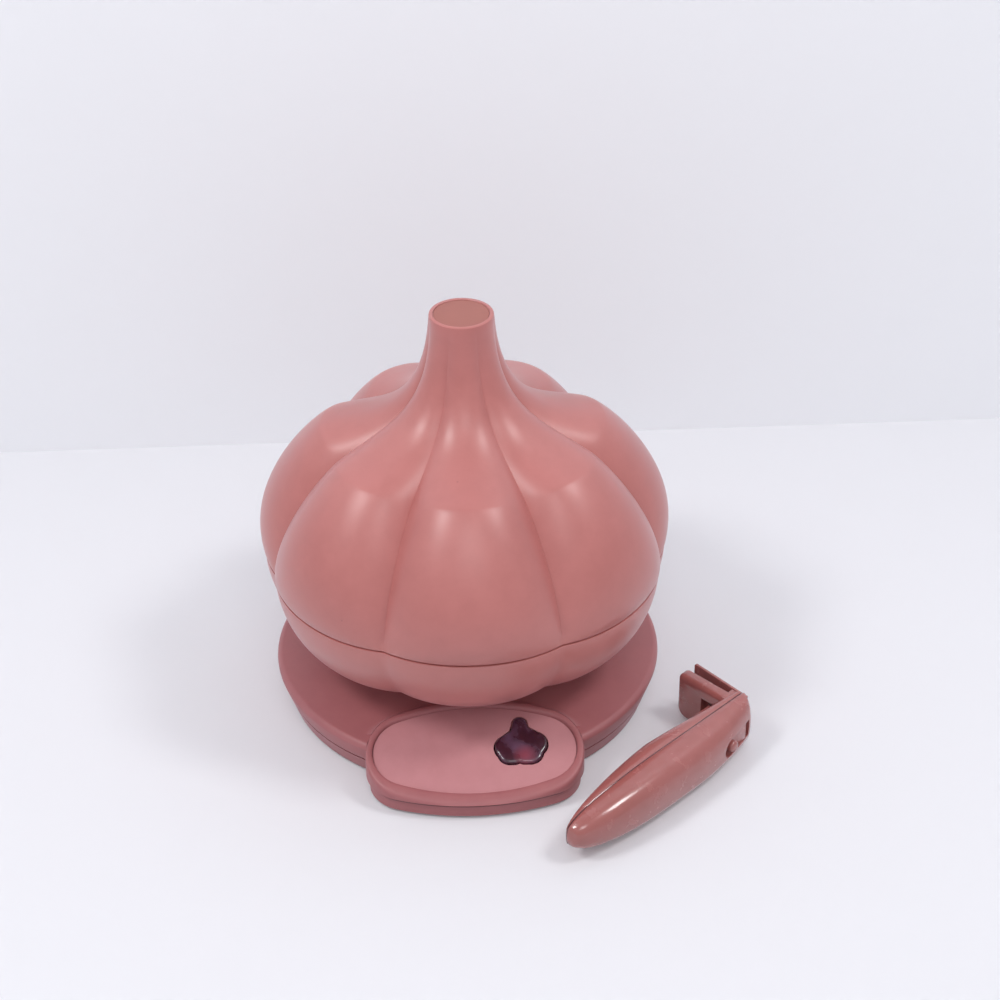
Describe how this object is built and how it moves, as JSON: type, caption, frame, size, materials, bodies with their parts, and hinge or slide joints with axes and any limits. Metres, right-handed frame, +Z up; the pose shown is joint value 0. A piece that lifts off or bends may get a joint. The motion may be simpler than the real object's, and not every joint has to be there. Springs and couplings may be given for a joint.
{
  "type": "electric garlic roaster",
  "caption": "Bulb-shaped tabletop garlic roaster: lobed lift-off lid and bowl over a heated pan, round base with a front control pod, and a separate clip-on pan handle.",
  "frame": {"origin": "on the table, on the bulb's vertical axis", "axes": "+Z up along the bulb's axis, -Y towards the control pod, +X to the side where the handle lies"},
  "size_m": [0.2203, 0.2255, 0.195],
  "materials": {
    "body_plastic": "satin, fine grain",
    "handle_plastic": "glossy, lightly scuffed",
    "button_plastic": "translucent dark red",
    "pan_coating": "dark nonstick coating",
    "cast_alloy": "as cast",
    "sheet_steel": "plain",
    "screw_steel": "zinc plated",
    "black_plastic": "plain",
    "board": "bare circuit board",
    "lamp_glass": "clear amber",
    "rubber": "plain"
  },
  "bodies": {
    "housing": {"lid": "body_plastic", "stem_cap": "body_plastic", "bowl": "body_plastic", "roasting_pan": "pan_coating", "heater_plate": "cast_alloy", "heating_element": "sheet_steel", "heat_shield": "sheet_steel", "thermostat": "black_plastic", "thermostat_screws": "screw_steel", "thermal_fuse": "sheet_steel", "fuse_clip": "sheet_steel", "heater_screws": "screw_steel", "base_top": "body_plastic", "bowl_screws": "screw_steel", "panel_plate": "body_plastic", "push_switch": "black_plastic", "indicator_lamp": "lamp_glass", "switch_board": "board", "board_screws": "screw_steel", "terminal_block": "black_plastic", "bottom_cover": "body_plastic", "cover_screws": "screw_steel", "rubber_feet": "rubber", "grip_upper": "handle_plastic", "grip_lower": "handle_plastic", "grip_screws": "screw_steel"},
    "button": {"power_button": "button_plastic"},
    "latch": {"latch_slide": "handle_plastic"}
  },
  "joints": [
    {"name": "power_button_press", "type": "slide", "parent": "housing", "child": "button", "axis": [0, 0.3551, -0.9348], "range_m": [0, 0.0015], "stiffness_N_per_m": 600, "springref_m": -0.002},
    {"name": "latch_slide_travel", "type": "slide", "parent": "housing", "child": "latch", "axis": [-0.7431, -0.6691, 0], "range_m": [0, 0.0035]}
  ]
}
